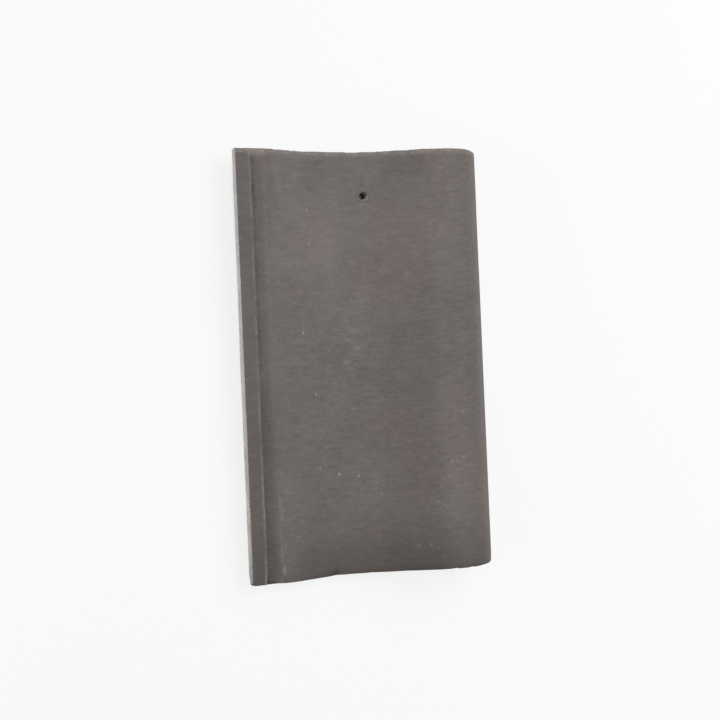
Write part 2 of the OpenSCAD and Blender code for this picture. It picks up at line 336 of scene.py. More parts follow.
# relief in millimetres; noise as size across, size along, share, seed
relief = {"rest": 0.28, "sag": ((42.0, 60.0, 0.10, 6),), "grit": ((1.9, 1.7, 0.035, 7),),
          "drag": ((10.0, 1.9, 0.030, 3), (5.0, 1.3, 0.021, 4)),
          "dragEven": 0.8, "dragLoud": ((30.0, 36.0, 0.6, 5),),
          "chatter": 0.24, "chatterRidges": ((7.0, 3.2, 1.0, 8),),
          "chatterAt": (103.0, 214.0, 12.0, 24.0, 1.0),  # place, half size across and along, strength
          "cast": 0.10, "castRough": ((6.0, 6.0, 0.6, 11), (2.2, 2.2, 0.4, 12))}


# chatter: short ridges across the tile in one patch, from noise drawn out across
def chatterMarks(u, y):
    return layers(u, y, relief["chatterRidges"]) * spots(u, y, [relief["chatterAt"]])


# depth taken off the face, never proud: slow sagging, drag marks across, a patch of chatter, and grit
def faceRelief(u, y):
    loud = relief["dragEven"] + layers(u, y, relief["dragLoud"])
    deep = layers(u, y, relief["sag"]) + layers(u, y, relief["drag"]) * loud
    deep += relief["chatter"] * chatterMarks(u, y) + layers(u, y, relief["grit"])
    return np.minimum(deep - relief["rest"], 0)


# depth taken off the bare sides and underside: two sizes of cast roughness
def castRelief(s, y):
    return -relief["cast"] * (1 + layers(s, y, relief["castRough"]))


# the two ends in millimetres: rag as noise along the edge; bands and eased steps, each after its depth
ends = {
    "headRag": 0.28, "headRough": ((11.0, 1.0, 1.0, 21), (2.6, 1.0, 0.7, 22)),
    "headSpan": (26.0, 36.0, 192.0, 205.0), "headReach": 26.0, "headSteps": ((0.35, 12.0, 8.0),),
    "headWorn": ((0.5, 32.0, 39.0, 60.0, 85.0), (0.3, 95.0, 125.0, 150.0, 185.0),
                 (0.2, 210.5, 214.0, 217.0, 226.0)),
    "tailRag": 0.12, "tailRough": ((13.0, 1.0, 1.0, 23), (3.3, 1.0, 0.5, 24)), "tailReach": 22.0,
    "tailChips": ((81.0, 4.5, 0.5), (184.0, 2.0, 0.5), (199.0, 2.2, 0.5)),  # place, half width, depth
    "tailSteps": ((0.2, 226.0, width), (1.1, 4.0, 0.0), (0.35, 120.0, 145.0), (0.3, 14.0, 10.0)),
}


# how far the head edge stands back: ragged over the plate, worn in bands, stepped at the rib
def headTrim(u):
    rag = ends["headRag"] * (1 + layers(u, 0 * u, ends["headRough"])) * band(u, *ends["headSpan"])
    worn = sum(deep * band(u, *span) for deep, *span in ends["headWorn"])
    return np.maximum(rag, 0) + worn + easedSteps(u, ends["headSteps"])


# how far the tail edge stands back: a little ragged, with small chips, stepped back at the corners
def tailTrim(u):
    rag = ends["tailRag"] * (1 + layers(u, 0 * u, ends["tailRough"]))
    chips = sum(deep * bell(u, at, wide) for at, wide, deep in ends["tailChips"])
    return np.maximum(rag, 0) + chips + easedSteps(u, ends["tailSteps"])


# nib under the plate: a level foot, sides and back that lean by the draft, an upright front
def nibHeight(u, y, centre):
    sides = (np.abs(u - centre) - nibs["width"] / 2) / nibDraft
    back = (y - nibBack(centre)) / nibDraft + np.where(y > nibEnd, nibs["cliff"], 0.0)
    front = (nibFace - y) * nibs["cliff"]
    return nibFoot + np.maximum.reduce([sides, back, front, 0 * u])


# weather bars: ridges with sloping flanks across the tail's underside, cut off square at both ends
def barDepth(u, y):
    (left, right), (leftRun, rightRun) = bars["ends"], bars["endRuns"]
    across = np.clip((u - left + leftRun) / leftRun, 0, 1) * np.clip((right - u) / rightRun, 0, 1)
    flank = sum(np.clip(np.minimum(y - a, a + bars["width"] - y) / barRun, 0, 1) for a in barStarts)
    return bars["rise"] * across * flank


# dam in the channel at the head: the higher of the channel and a wedge that slopes up to the dam's top
def damHeight(u, y, z):
    start = tile["ribWidth"] - tile["arris"]
    top = tile["shoulderRise"] * (u - start) / (tile["lap"] - start) - tile["damDrop"]
    slope = (y - length + tile["damLength"]) * np.tan(np.radians(tile["damSlope"])) - tile["channelDrop"]
    dam = -filletMin(-z, -np.minimum(top, slope), tile["damFillet"])
    return np.where(y > length - tile["damLength"] - tile["damFillet"], dam, z)


# rib edge that wanders as noise along the tile, and a left foot that draws in towards the head
uneven = {"rib": ((27.0, 1.0, 0.28, 31), (6.5, 1.0, 0.25, 32)), "wallShare": 0.6,
          "ribSteps": ((0.25, 320.0, 345.0), (-1.3, length - 8.0, length)),
          "footSteps": ((0.5, 190.0, 250.0),)}


# moves across: the rib's edge by the wander, its wall by a share of it, the side's foot inwards
def moveEdges(u, y):
    wander = layers(y, 0 * y, uneven["rib"]) + easedSteps(y, uneven["ribSteps"])
    inward = easedSteps(y, uneven["footSteps"])
    u[:, part["footArris"]] += inward[:, part["footArris"]]
    u[:, part["side"]] += inward[:, part["side"]] * np.linspace(1, 0, len(loop["side"]))
    u[:, part["ribArris"]] += wander[:, part["ribArris"]]
    u[:, part["ribWall"]] += uneven["wallShare"] * wander[:, part["ribWall"]]


# whole skin on a grid of stations and section points: form, roundings of the ends, relief, worn edges
def tileGrid():
    y = np.repeat(stations[:, None], len(section), 1)
    u = np.repeat(section[None, :, 0], len(stations), 0)
    z = np.repeat(section[None, :, 1], len(stations), 0)
    lock = slice(part["ribArris"].start, part["wave"].start)
    z[:, lock] = damHeight(u, y, z)[:, lock]
    drop = endRound(*tile["nose"], y) * (1 - tile["flatter"] * ease(u, *tile["noseFlat"]))
    drop += endRound(*tile["head"], length - y) * (1 - tile["flatter"] * ease(u, *tile["headFlat"]))
    lift = endRound(*tile["lift"], y) + endRound(*tile["headLift"], length - y)
    below = part["under"]
    for centre in nibs["centres"]:
        z[:, below] = filletMin(z[:, below], nibHeight(u, y, centre)[:, below], nibs["fillet"])
    z[:, below] -= barDepth(u, y)[:, below]
    z = z - drop * faceParts + lift * (1 - faceParts)
    top = slice(0, part["lipFace"].start)
    least = np.where(u < tile["lap"], lift - tile["sideDrop"] + tile["leastEdge"], -np.inf)
    z[:, top] = np.maximum(z, least)[:, top]
    lip = slice(part["lipArris"].start, part["hollow"].start)
    z[:, lip] = np.minimum(z, faceHeight(u) - drop - tile["leastEdge"])[:, lip]
    z[:, lip] = np.where(y > lipBack, np.maximum(z, lipHeight(width)), z)[:, lip]
    walk = np.concatenate([[0], np.cumsum(np.linalg.norm(np.diff(section, axis=0), axis=1))])
    cast = castRelief(np.repeat(walk[None], len(stations), 0), y)
    deep = faceParts * faceRelief(u, y) + (1 - faceParts) * cast
    u, z = u + deep * sectionOut[:, 0], z + deep * sectionOut[:, 1]
    moveEdges(u, y)
    for name, before, after in (("side", "footArris", "leftArris"), ("lipFace", "edgeArris", "lipArris")):
        share = between(0, 1, len(loop[name]))[None]
        low, high = part[before].stop - 1, part[after].start
        z[:, part[name]] = z[:, low, None] * (1 - share) + z[:, high, None] * share
    atHead, atTail = ease(y, length - ends["headReach"], length), ease(y, ends["tailReach"], 0)
    return u, y - headTrim(u) * atHead + tailTrim(u) * atTail, z


# coat from 0 to 1: over the left arris, down the lip's face, and the run in which it wraps round the tail
coatOn = {"leftArris": (0.15, 1.5), "lipFace": (1.0, 0.55), "tailFront": (2.6, 0.6)}


# mask of the dark coat: all of the face, none of the sides and underside
def coatMask(y):
    coat = np.repeat(faceParts[None], len(y), 0)
    coat[:, part["side"]] = 0
    coat[:, part["leftArris"]] = np.linspace(*coatOn["leftArris"], len(loop["leftArris"]))
    coat[:, part["lipFace"]] = np.linspace(*coatOn["lipFace"], len(loop["lipFace"]))
    return np.clip(np.maximum(coat, ease(y, *coatOn["tailFront"])), 0, 1)


# wear and painted highlights: strengths from 0 to 1, places and runs in millimetres, noise as in the relief
wearAndHighlightOn = {
    # shoulder: a broken worn line, partly a painted highlight on the shoulder's ridge
    "shoulder": 0.62, "shoulderBack": 0.4, "shoulderWide": 2.2, "shoulderLeast": 0.2,
    "shoulderLow": (140.0, 10.0),
    "broken": ((1.7, 12.0, 1.0, 34), (1.2, 3.4, 0.6, 36)), "unbroken": 0.25,
    # head: worn edge, partly a painted highlight on the head's rounded edge
    "head": 0.52, "headRough": ((4.0, 2.0, 0.35, 35),), "headRun": (7.0, 0.5),
    # channel: painted light on the channel's slope, which faces away from the key lamp
    "channel": 0.13, "channelSteps": ((0.16, 100.0, 260.0),), "channelSpan": (17.0, 20.5, 25.0, 29.5),
    # rib: worn arris, partly a painted highlight on the rib's edge
    "rib": 0.34, "ribRough": ((9.0, 1.0, 0.35, 33), (3.1, 1.0, 0.3, 37)), "ribBack": 0.5, "ribWide": 1.1,
    "ribSteps": ((0.18, 185.0, 110.0), (-0.05, 270.0, 330.0), (0.3, 360.0, 376.0)),
    "chatter": 0.28, "leftSteps": ((0.06, 3.0, 0.5),), "rightArris": 0.1,
    # places rubbed paler, with painted light on the dam's slope at (17, 371) and a painted highlight on the
    # hole's lit lip at (124, 340) and (118, 332.5): place, half size across and along, strength
    "rubsAndHighlights": ((107.0, 203.5, 4.0, 1.2, 0.7), (97.5, 191.5, 2.6, 1.2, 0.8), (124.0, 340.0, 2.2, 2.6, 0.25),
             (118.0, 332.5, 7.0, 3.5, 0.15), (185.0, 80.0, 15.0, 28.0, 0.10),
             (72.0, 304.0, 38.0, 40.0, 0.14), (150.0, 312.0, 26.0, 42.0, 0.09),
             (118.0, 305.0, 16.0, 26.0, 0.07), (37.0, 360.0, 3.5, 12.0, 0.15),
             (17.0, 371.0, 5.0, 5.0, 0.14)),
}


# mask of wear and painted highlights: a broken line on the shoulder, worn and partly a painted highlight;
# the head's edge, worn and partly a painted highlight; painted light on the channel's slope; rubbed places,
# some of them painted light; the rib's edge, worn and partly a painted highlight
def wearAndHighlightMask(u, y):
    low = wearAndHighlightOn["shoulderLeast"] + (1 - wearAndHighlightOn["shoulderLeast"]) * ease(y, *wearAndHighlightOn["shoulderLow"])
    broken = np.clip(layers(u, y, wearAndHighlightOn["broken"]) + wearAndHighlightOn["unbroken"], 0, 1)
    # line on the shoulder: worn, and partly a painted highlight on its ridge
    shoulder = wearAndHighlightOn["shoulder"] * bell(u, tile["lap"] - wearAndHighlightOn["shoulderBack"], wearAndHighlightOn["shoulderWide"])
    # head's edge: worn, and partly a painted highlight on its rounding
    head = wearAndHighlightOn["head"] + layers(u, y, wearAndHighlightOn["headRough"])
    # painted light on the channel's slope
    channel = wearAndHighlightOn["channel"] + easedSteps(y, wearAndHighlightOn["channelSteps"])
    wearAndHighlight = shoulder * low * broken + head * ease(length - y, *wearAndHighlightOn["headRun"])
    wearAndHighlight += channel * band(u, *wearAndHighlightOn["channelSpan"]) + spots(u, y, wearAndHighlightOn["rubsAndHighlights"])
    wearAndHighlight += wearAndHighlightOn["chatter"] * np.clip(chatterMarks(u, y), 0, 1) + easedSteps(u, wearAndHighlightOn["leftSteps"])
    wearAndHighlight *= faceParts
    # rib's edge: worn, and partly a painted highlight on the arris
    rib = wearAndHighlightOn["rib"] + layers(y, 0 * y, wearAndHighlightOn["ribRough"]) + easedSteps(y, wearAndHighlightOn["ribSteps"])
    rib = np.clip(rib, 0, 1) * bell(u, tile["ribWidth"] - wearAndHighlightOn["ribBack"], wearAndHighlightOn["ribWide"])
    edge = slice(part["ribTop"].start, part["ribWall"].stop)
    wearAndHighlight[:, edge] += rib[:, edge]
    wearAndHighlight[:, part["edgeArris"]] += wearAndHighlightOn["rightArris"]
    return np.clip(wearAndHighlight, 0, 1)


# grime and painted shade: strengths from 0 to 1, places and runs in millimetres
grimeAndShadeOn = {
    # foot: painted shade in the corner at the rib's foot, along the channel
    "foot": 0.15, "footRough": ((14.0, 1.0, 0.12, 38),), "footOff": 2.4, "footWide": 1.2,
    "footClear": (30.0, 11.0),
    # tailSteps, tailLess and shoulderLess: painted shade, darker towards the tail, with less of it at the
    # left, at the shoulder and towards the right
    "tailSteps": ((0.34, 66.0, 8.0), (0.10, 34.0, 14.0)),
    "tailLess": ((0.28, 172.0, 190.0), (0.28, 26.0, 16.0)), "shoulderLess": (0.68, 34.0, 13.0),
    # rim: painted shade on the tail's rounded rim
    "rim": 0.13, "rimRun": (8.0, 0.0), "rimFrom": (25.0, 60.0),
    "rib": 0.22, "ribSteps": ((0.05, 140.0, 90.0), (-0.12, 40.0, 10.0)), "ribEdge": (0.5, -1.5),
    # low: painted shade, darker over the lower half towards the tail
    "low": 0.035, "lowRun": (260.0, 150.0),
    # rise and roll: painted shade, darker on the rise, which faces away from the key lamp, and toning down
    # the roll, which faces it
    "rise": 0.07, "riseLow": 0.065, "riseSpan": (112.0, 140.0, 164.0, 182.0),
    "roll": 0.16, "rollFrom": (194.0, 208.0), "rollLess": ((0.6, 213.0, 221.0),),
    "rollTailLess": ((0.35, 130.0, 90.0),),
    "sideSteps": ((0.05, 40.0, 8.0),),
    # stains, and at the last place a painted shadow in the channel beside the rib: place, half size across
    # and along, strength
    "stainsAndShadow": ((79.0, 1.0, 4.0, 4.0, 0.5), (192.0, 225.0, 16.0, 60.0, 0.07), (116.0, 351.0, 0.8, 0.8, 0.7),
               (155.0, 366.0, 16.0, 10.0, 0.16), (80.0, 363.0, 18.0, 9.0, 0.06),
               (108.0, 45.0, 22.0, 38.0, 0.05), (channelAt + 2.0, 346.0, 1.0, 6.0, 0.4)),
    "underStains": ((50.0, 352.0, 20.0, 6.0, 0.25),),
}


# mask of grime and painted shade: painted shade at the rib's foot, towards the tail, over the tail's rim
# and the lower half, on the rise and on the roll; grime on the rib's top; stains, one of them a painted
# shadow in the channel
def grimeAndShadeMask(u, y):
    # painted shade in the corner at the rib's foot
    foot = grimeAndShadeOn["foot"] + layers(y, 0 * y, grimeAndShadeOn["footRough"])
    foot = foot * bell(u, channelAt + grimeAndShadeOn["footOff"], grimeAndShadeOn["footWide"])
    foot = foot * (1 - ease(length - y, *grimeAndShadeOn["footClear"]))
    foot[:, :part["ribArris"].stop - 2] = 0  # none on the rib's top
    # painted shade, darker towards the tail
    less, at, wide = grimeAndShadeOn["shoulderLess"]
    share = 1 - easedSteps(u, grimeAndShadeOn["tailLess"]) - less * bell(u, at, wide)
    tail = easedSteps(y, grimeAndShadeOn["tailSteps"]) * share
    # painted shade on the tail's rounded rim
    rim = grimeAndShadeOn["rim"] * ease(y, *grimeAndShadeOn["rimRun"]) * ease(u, *grimeAndShadeOn["rimFrom"])
    rib = grimeAndShadeOn["rib"] + easedSteps(y, grimeAndShadeOn["ribSteps"])
    rib = rib * ease(u, *(tile["ribWidth"] + off for off in grimeAndShadeOn["ribEdge"]))
    # painted shade, darker over the lower half
    low = ease(y, *grimeAndShadeOn["lowRun"])
    # painted shade on the rise and the roll, by the way they face the key lamp
    rise = (grimeAndShadeOn["rise"] + grimeAndShadeOn["riseLow"] * low) * band(u, *grimeAndShadeOn["riseSpan"])
    roll = grimeAndShadeOn["roll"] * ease(u, *grimeAndShadeOn["rollFrom"]) * (1 - easedSteps(u, grimeAndShadeOn["rollLess"]))
    roll = roll * (1 - easedSteps(y, grimeAndShadeOn["rollTailLess"]))
    grimeAndShade = foot + tail + rim + rib + grimeAndShadeOn["low"] * low + rise + roll + spots(u, y, grimeAndShadeOn["stainsAndShadow"])
    grimeAndShade = grimeAndShade * faceParts + (1 - faceParts) * spots(u, y, grimeAndShadeOn["underStains"])
    grimeAndShade[:, part["side"]] += easedSteps(y, grimeAndShadeOn["sideSteps"])[:, part["side"]]
    return np.clip(grimeAndShade, 0, 1)


# tile frame to row frame: pitched about X as it rests, middle over the origin, in metres
def toRow(u, y, z):
    c, s = np.cos(restPitch), np.sin(restPitch)
    middle = (length * c - (bed + tile["edgeRise"]) * s) / 2
    floor = nibFace * s + nibFoot * c
    return np.stack([u - width / 2, y * c - z * s - middle, y * s + z * c - floor], -1) / perMetre


# grid quads between neighbouring rows; the last column joins the first
def gridQuads(index):
    right = np.roll(index, -1, 1)
    return np.stack([index[:-1], right[:-1], right[1:], index[1:]], -1)


# outline of a square block of grid indices, once round without repeats
def blockRing(index):
    return np.concatenate([index[0, :-1], index[:-1, -1], index[-1, :0:-1], index[:0:-1, 0]])


# turn of each point of a ring about the hole's middle
def holeTurn(u, y):
    return np.arctan2(y - hole["at"][1], u - hole["at"][0])


# nail hole: rings from the block's outline in to the worn mouth, down the bore, and out again below
def nailHole(ringU, ringY, underU, underY):
    turn = holeTurn(ringU, ringY)
    waves = sum(high * np.sin(lobes * turn + off) for lobes, high, off in hole["lobes"])
    mouth = hole["mouth"] * (1 + waves)

    def around(radius):
        return hole["at"][0] + radius * np.cos(turn), hole["at"][1] + radius * np.sin(turn)

    rings = []
    mouthU, mouthY = around(mouth)
    for share in np.linspace(0, 1, hole["collarRings"] + 1)[1:]:
        u = ringU * (1 - share) + mouthU * share
        y = ringY * (1 - share) + mouthY * share
        rim = hole["rimRise"] * bell(share, hole["rimAt"], hole["rimWide"])
        rim = rim - hole["rimFall"] * ease(share, hole["rimFallFrom"], 1)
        rings.append((u, y, faceHeight(u) + faceRelief(u, y) + rim))
    for share in hole["mouthShares"]:
        u, y = around(mouth + (hole["bore"] - mouth) * share)
        rings.append((u, y, faceHeight(u) - hole["mouthTop"] - hole["mouthDepth"] * share))
    top = rings[-1][2]
    u, y = around(hole["bore"])
    for share in np.linspace(0, 1, hole["boreRings"] + 1)[1:]:
        rings.append((u, y, top * (1 - share) + (underHeight(u) - hole["footDrop"]) * share))
    for share in between(0, 1, hole["underRings"]):
        wideU = u * (1 - share) + underU * share
        wideY = y * (1 - share) + underY * share
        rings.append((wideU, wideY, underHeight(wideU) + relief["cast"] * share))
    return rings


# paint of the hole: how far the coat reaches in, a painted highlight on the rim's lit side, painted shade
# on its unlit side and inside
holePaint = {"litTurn": 0.9, "thinRings": 4, "thin": 0.5, "wearAndHighlight": 0.5, "wornRings": 2,
             "rimShade": 0.5, "boreShade": 0.9}


# masks of the hole by ring: coat to the bore and thinly into it, a painted highlight where the rim is lit,
# painted shade on the rim's unlit side and down the bore
def holeMasks(ring, turn):
    mouth = hole["collarRings"]
    bore = mouth + len(hole["mouthShares"])
    foot = bore + hole["boreRings"]
    lit = np.clip(np.cos(turn + holePaint["litTurn"]), 0, 1)
    thin = np.where(ring < bore + holePaint["thinRings"], holePaint["thin"], 0.0)
    coat = np.where(ring < bore, 1.0, thin)
    # painted highlight on the rim's lit side
    worn = (ring >= mouth - holePaint["wornRings"]) & (ring < bore - 1)
    wearAndHighlight = np.where(worn, holePaint["wearAndHighlight"] * lit, 0.0)
    # painted shade on the rim's unlit side and down the bore
    inside = [ring >= foot - 1, ring >= bore - 1, ring >= mouth]
    grimeAndShade = np.select(inside, [0.0, holePaint["boreShade"], holePaint["rimShade"] * (1 - lit)], 0.0)
    return {"coat": coat, "wearAndHighlight": wearAndHighlight, "grimeAndShade": grimeAndShade}


# end face: face line and underside line zipped together by their place across, one triangle per step;
# a hair is added at each step, so that no two places are the same
def zipEnd(row, hair=1e-6):
    split = part["lipFace"].start
    upper, lower = row[:split], row[:split - 1:-1]
    overAt, underAt = section[:split, 0], section[:split - 1:-1, 0]
    overAt, underAt = (np.maximum.accumulate(at) + hair * np.arange(len(at)) for at in (overAt, underAt))
    beside = np.searchsorted(underAt[1:], overAt[1:])
    above = np.searchsorted(overAt[1:], underAt[1:], side="right")
    steps = np.stack([upper[:-1], upper[1:], lower[beside]], 1)
    return np.concatenate([steps, np.stack([upper[above], lower[1:], lower[:-1]], 1)])


# index of the line nearest to a place
def nearest(lines, place):
    return int(np.argmin(np.abs(lines - place)))


# one closed mesh: grid less the hole's squares, rings of the hole, end faces; paint masks on its points
def buildTile(sharpFrom=48):
    u, y, z = tileGrid()
    flatU, flatY = np.meshgrid(section[:, 0], stations)
    masks = {"coat": coatMask(flatY), "wearAndHighlight": wearAndHighlightMask(flatU, flatY), "grimeAndShade": grimeAndShadeMask(flatU, flatY)}
    index = np.arange(u.size).reshape(u.shape)
    quads = gridQuads(index)
    n = hole["steps"]
    j = nearest(stations, hole["at"][1] - hole["block"])
    faceStart = part["wave"].start + nearest(faceLines, hole["at"][0] - hole["block"])
    underStart = part["under"].start + nearest(underLines, hole["at"][0] + hole["block"])
    keep = np.ones(quads.shape[:2], bool)
    keep[j:j + n, faceStart:faceStart + n] = False
    keep[j:j + n, underStart:underStart + n] = False
    faceRing = blockRing(index[j:j + n + 1, faceStart:faceStart + n + 1])
    underRing = blockRing(index[j:j + n + 1, underStart:underStart + n + 1][:, ::-1])
    flat = np.stack([u.ravel(), y.ravel(), z.ravel()], 1)
    rings = nailHole(*flat[faceRing, :2].T, *flat[underRing, :2].T)
    points = np.concatenate([flat, np.stack([np.concatenate(axis) for axis in zip(*rings)], 1)])
    ringIndex = len(flat) + np.arange(len(rings) * len(faceRing)).reshape(len(rings), -1)
    collar = gridQuads(np.concatenate([faceRing[None], ringIndex, underRing[None]])).reshape(-1, 4)
    ring = np.repeat(np.arange(len(rings)), len(faceRing))
    turn = np.tile(holeTurn(*flat[faceRing, :2].T), len(rings))
    quads = np.concatenate([quads[keep], collar])
    used = np.unique(quads)
    renumber = np.full(len(points), -1)
    renumber[used] = np.arange(len(used))
    tailCap, headCap = renumber[zipEnd(index[0])[:, ::-1]], renumber[zipEnd(index[-1])]
    faces = renumber[quads].tolist() + tailCap.tolist() + headCap.tolist()
    mesh = bpy.data.meshes.new("tile")
    mesh.from_pydata(toRow(*points[used].T), [], faces)
    for name, inHole in holeMasks(ring, turn).items():
        values = np.concatenate([masks[name].ravel(), inHole])[used].astype(np.float32)
        mesh.attributes.new(name, "FLOAT", "POINT").data.foreach_set("value", values)
    endFace = np.zeros(len(faces), np.float32)  # the head's end is bare
    endFace[-len(headCap):] = 1
    mesh.attributes.new("endFace", "FLOAT", "FACE").data.foreach_set("value", endFace)
    mesh.shade_smooth()
    mesh.set_sharp_from_angle(angle=np.radians(sharpFrom))
    mesh.validate()
    obj = bpy.data.objects.new("tile", mesh)
    scene.collection.objects.link(obj)
    print("tile", len(used), "points", sum(len(f) - 2 for f in faces), "triangles")
    return obj


# one node with its settings and inputs; an input is a number, a colour or another node's output
def put(tree, kind, inputs, **settings):
    node = tree.nodes.new(kind)
    for name, value in settings.items():
        setattr(node, name, value)
    for name, value in inputs.items():
        if isinstance(value, bpy.types.NodeSocket):
            tree.links.new(value, node.inputs[name])
        else:
            node.inputs[name].default_value = value
    return node


# empty node tree of a material or a world
def freshTree(owner):
    owner.use_nodes = True
    owner.node_tree.nodes.clear()
    return owner.node_tree


# noise at a scale per metre, with its detail and roughness
def noiseOn(tree, vector, scale, detail, rough):
    inputs = {"Vector": vector, "Scale": scale, "Detail": detail, "Roughness": rough}
    return put(tree, "ShaderNodeTexNoise", inputs).outputs[0]


# value carried from one span to another, and held at its ends
def remap(tree, value, span, to, kind="LINEAR"):
    inputs = {"Value": value, "From Min": span[0], "From Max": span[1], "To Min": to[0], "To Max": to[1]}
    return put(tree, "ShaderNodeMapRange", inputs, interpolation_type=kind).outputs[0]


# one sum, product or comparison of two values
def mathOn(tree, kind, a, b):
    return put(tree, "ShaderNodeMath", {0: a, 1: b}, operation=kind).outputs[0]


# second colour laid over the first by a share
def blendColours(tree, share, a, b, kind="MIX"):
    return put(tree, "ShaderNodeMix", {0: share, 6: a, 7: b}, data_type="RGBA", blend_type=kind).outputs[2]


# colour times a grey value
def shadeColour(tree, colour, value):
    grey = put(tree, "ShaderNodeCombineColor", {0: value, 1: value, 2: value}).outputs[0]
    return blendColours(tree, 1.0, colour, grey, "MULTIPLY")


# paint mask from the mesh
def maskOn(tree, name):
    return put(tree, "ShaderNodeAttribute", {}, attribute_name=name).outputs["Fac"]


# dots, one in some cells: each a cone as wide as the cell's first random number, as strong as its second
def cellDots(tree, at, dots):
    inputs = {"Vector": at, "Scale": dots["scale"]}
    cells = put(tree, "ShaderNodeTexVoronoi", inputs, voronoi_dimensions="2D")
    pick = put(tree, "ShaderNodeSeparateColor", {0: cells.outputs["Color"]})
    size = remap(tree, pick.outputs[0], dots["picked"], dots["size"])
    cone = mathOn(tree, "SUBTRACT", 1.0, mathOn(tree, "DIVIDE", cells.outputs["Distance"], size))
    return mathOn(tree, "MULTIPLY", cone, remap(tree, pick.outputs[1], (0, 1), dots["strength"]))


# bare grains that show on the face: place, radius, strength
grains = ((86.2, 91.0, 2.1, 0.55), (103.8, 88.8, 1.9, 0.48), (56.5, 219.0, 1.7, 0.6),
          (66.8, 163.8, 1.8, 0.48), (65.0, 327.5, 1.9, 0.36), (65.2, 298.0, 1.9, 0.36),
          (75.5, 116.0, 1.2, 0.32), (67.8, 97.8, 1.8, 0.3), (122.8, 71.5, 1.6, 0.22),
          (118.8, 80.8, 1.6, 0.25), (182.5, 98.0, 2.0, 0.26), (193.0, 101.5, 1.9, 0.26),
          (187.8, 90.0, 1.7, 0.24), (161.5, 24.0, 2.0, 0.21), (43.0, 40.0, 1.6, 0.25),
          (179.3, 85.0, 2.0, 0.16), (197.0, 93.7, 1.6, 0.14), (203.3, 88.5, 1.6, 0.12),
          (172.2, 76.3, 1.8, 0.14), (174.0, 58.9, 2.2, 0.15), (169.3, 62.2, 2.0, 0.15),
          (176.3, 57.4, 1.6, 0.12), (181.0, 49.4, 1.9, 0.14), (167.2, 21.1, 1.8, 0.09),
          (151.0, 24.0, 2.0, 0.12), (171.0, 13.1, 1.6, 0.09), (140.0, 64.6, 1.6, 0.08))


# grains as one mask: each fades from its strength to nothing at its radius, and the strongest wins
def grainMask(tree, at):
    mask = 0.0
    for u, y, radius, strong in grains:
        pair = {0: at, 1: toRow(u, y, faceHeight(u))}
        away = put(tree, "ShaderNodeVectorMath", pair, operation="DISTANCE").outputs["Value"]
        grain = remap(tree, away, (0.0, radius / perMetre), (strong, 0), "SMOOTHSTEP")
        mask = mathOn(tree, "MAXIMUM", grain, mask)
    return mask


# colours; dots and pores by cells per metre, share of cells picked, size and strength; bump in metres
finish = {
    "coatDark": (0.137, 0.1215, 0.114, 1), "coatLight": (0.175, 0.1573, 0.149, 1),
    # the pale worn colour here is also used for painted highlights, and the dark grime colour below for
    # painted shade
    "coatWarm": (0.171, 0.1424, 0.131, 1), "worn": (0.33, 0.291, 0.273, 1),
    "grimeAndShade": (0.043, 0.033, 0.0255, 1), "speck": (0.5, 0.48, 0.45, 1), "pore": (0.16, 0.15, 0.14, 1),
    "bareDark": (0.47, 0.45, 0.43, 1), "bareLight": (0.71, 0.685, 0.66, 1),
    "specks": {"scale": 62.0, "picked": (0.7, 1.0), "size": (0.001, 0.075), "strength": (0.05, 0.35)},
    "flecks": {"scale": 190.0, "picked": (0.45, 1.0), "size": (0.001, 0.16), "strength": (0.05, 0.28)},
    "pores": {"scale": 210.0, "picked": (0.6, 1.0), "size": (0.0, 0.22), "strength": 0.8},
    "bumpGrain": 0.7, "bumpSand": 0.5, "bumpStreak": 0.2, "bumpStrength": 0.6, "bumpDistance": 0.00045,
    "roughness": (0.84, 0.98), "coatSmoother": 0.16, "specular": 0.3, "bareGrimeAndShade": 0.9,
}
# noise: scale per metre, detail, roughness; the drawn ones are first stretched, in steps per metre
noises = {
    "mottle": (28.0, 5.0, 0.62), "tint": (11.0, 3.0, 0.5), "blotch": (230.0, 2.0, 0.55),
    "grain": (820.0, 2.0, 0.6), "sand": (2100.0, 1.0, 0.5), "wearAndHighlightSpread": (420.0, 3.0, 0.6),
    "cloud": (45.0, 5.0, 0.6), "spray": (260.0, 4.0, 0.65),
}
drawn = {"streak": (95.0, 400.0, 95.0), "smear": (120.0, 270.0, 120.0), "noise": (1.0, 3.0, 0.6)}
# spans of the noise that are used, and spans that they are carried to
reach = {
    "usual": (0.25, 0.75), "middle": (0.3, 0.7), "mottle": (0.3, 0.72), "tint": (0.45, 0.75),
    "rough": (0.2, 0.8), "edge": (0.42, 0.58), "full": (0, 1),
    "streak": (0.885, 1.115), "smear": (0.91, 1.09), "grain": (0.91, 1.09), "blotch": (0.94, 1.06),
    "bareGrain": (0.84, 1.14), "warm": (0, 0.55), "grimeAndShadeSpread": (0.75, 1.1), "wearAndHighlightSpread": (0.35, 1.25),
    "spray": (-0.2, 0.2),
}


